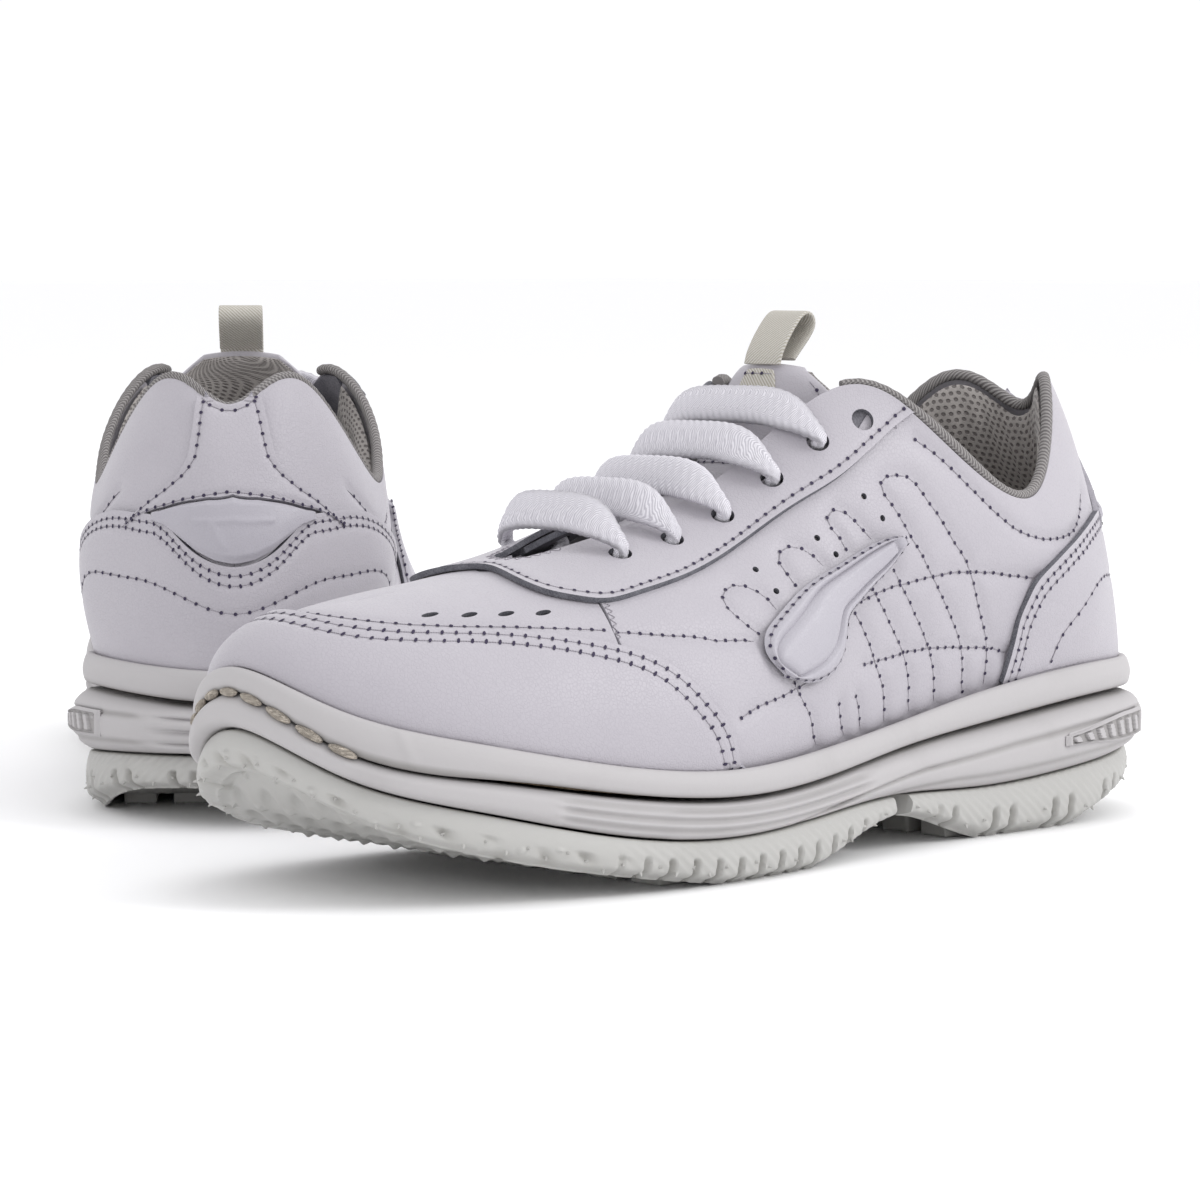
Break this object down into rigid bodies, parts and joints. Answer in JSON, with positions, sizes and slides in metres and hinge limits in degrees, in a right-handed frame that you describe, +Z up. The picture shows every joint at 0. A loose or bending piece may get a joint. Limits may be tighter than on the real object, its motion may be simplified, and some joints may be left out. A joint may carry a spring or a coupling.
{
  "type": "cheer shoes",
  "caption": "Pair of low white leather lace-up cheer shoes with padded collar, tongue with pull loop, raised toe bumper and split rubber tread.",
  "frame": {"origin": "centre of the pair's footprint, on the floor that both treads stand on", "axes": "+Z up; the left shoe's toe points along -Y with its outer side on +X; the right shoe stands turned, its toe towards -X and +Y"},
  "size_m": [0.3613, 0.2716, 0.1205],
  "materials": {
    "white_leather": "semi-gloss smooth finished",
    "emblem_leather": "semi-gloss smooth",
    "facing_leather": "matte split",
    "tread_rubber": "satin",
    "sole_rubber": "satin",
    "mesh_lining": "spacer mesh",
    "edge_binding": "folded tape",
    "cord_thread": "waxed cord",
    "lace_weave": "flat braided",
    "loop_webbing": "smooth webbing",
    "fibre_board": "pressed fibre",
    "sock_foam": "foam with textile top"
  },
  "bodies": {
    "left_shoe": {"left_outsole_forefoot": "tread_rubber", "left_outsole_heel": "tread_rubber", "left_midsole": "sole_rubber", "left_foxing_strip": "sole_rubber", "left_toe_stitching": "cord_thread", "left_side_plugs": "sole_rubber", "left_insole_board": "fibre_board", "left_sockliner": "sock_foam", "left_vamp": "white_leather", "left_toe_cap": "white_leather", "left_lateral_quarter": "white_leather", "left_medial_quarter": "white_leather", "left_eyestay": "white_leather", "left_eyestay_facing": "facing_leather", "left_heel_foxing": "white_leather", "left_heel_strap": "white_leather", "left_heel_badge": "emblem_leather", "left_side_emblems": "emblem_leather", "left_upper_lining": "mesh_lining", "left_collar_lining": "mesh_lining", "left_heel_stiffener": "fibre_board", "left_toe_puff": "fibre_board", "left_collar_binding": "edge_binding", "left_lace": "lace_weave"},
    "left_tongue_body": {"left_tongue": "white_leather", "left_tongue_lining": "mesh_lining", "left_lace_keeper": "white_leather", "left_loop_tab": "loop_webbing"},
    "left_loop_body": {"left_tongue_loop": "loop_webbing"},
    "right_shoe": {"right_outsole_forefoot": "tread_rubber", "right_outsole_heel": "tread_rubber", "right_midsole": "sole_rubber", "right_foxing_strip": "sole_rubber", "right_toe_stitching": "cord_thread", "right_side_plugs": "sole_rubber", "right_insole_board": "fibre_board", "right_sockliner": "sock_foam", "right_vamp": "white_leather", "right_toe_cap": "white_leather", "right_lateral_quarter": "white_leather", "right_medial_quarter": "white_leather", "right_eyestay": "white_leather", "right_eyestay_facing": "facing_leather", "right_heel_foxing": "white_leather", "right_heel_strap": "white_leather", "right_heel_badge": "emblem_leather", "right_side_emblems": "emblem_leather", "right_upper_lining": "mesh_lining", "right_collar_lining": "mesh_lining", "right_heel_stiffener": "fibre_board", "right_toe_puff": "fibre_board", "right_collar_binding": "edge_binding", "right_lace": "lace_weave"},
    "right_tongue_body": {"right_tongue": "white_leather", "right_tongue_lining": "mesh_lining", "right_lace_keeper": "white_leather", "right_loop_tab": "loop_webbing"},
    "right_loop_body": {"right_tongue_loop": "loop_webbing"}
  },
  "joints": [
    {"name": "left_tongue_hinge", "type": "hinge", "parent": "left_shoe", "child": "left_tongue_body", "pos_m": [0.1308, -0.06175, 0.0575], "axis": [1, 0, 0], "range_deg": [-12, 0]},
    {"name": "left_loop_hinge", "type": "hinge", "parent": "left_tongue_body", "child": "left_loop_body", "pos_m": [0.1308, 0.02125, 0.1103], "axis": [1, 0, 0], "range_deg": [-20, 60]},
    {"name": "right_tongue_hinge", "type": "hinge", "parent": "right_shoe", "child": "right_tongue_body", "pos_m": [-0.11302, 0.0734, 0.0575], "axis": [-0.6691, -0.7431, 0], "range_deg": [-12, 0]},
    {"name": "right_loop_hinge", "type": "hinge", "parent": "right_tongue_body", "child": "right_loop_body", "pos_m": [-0.05134, 0.01787, 0.1103], "axis": [-0.6691, -0.7431, 0], "range_deg": [-20, 60]},
    {"name": "right_shoe_lift", "type": "slide", "parent": "left_shoe", "child": "right_shoe", "axis": [0, 0, 1], "range_m": [0, 0.15]}
  ]
}
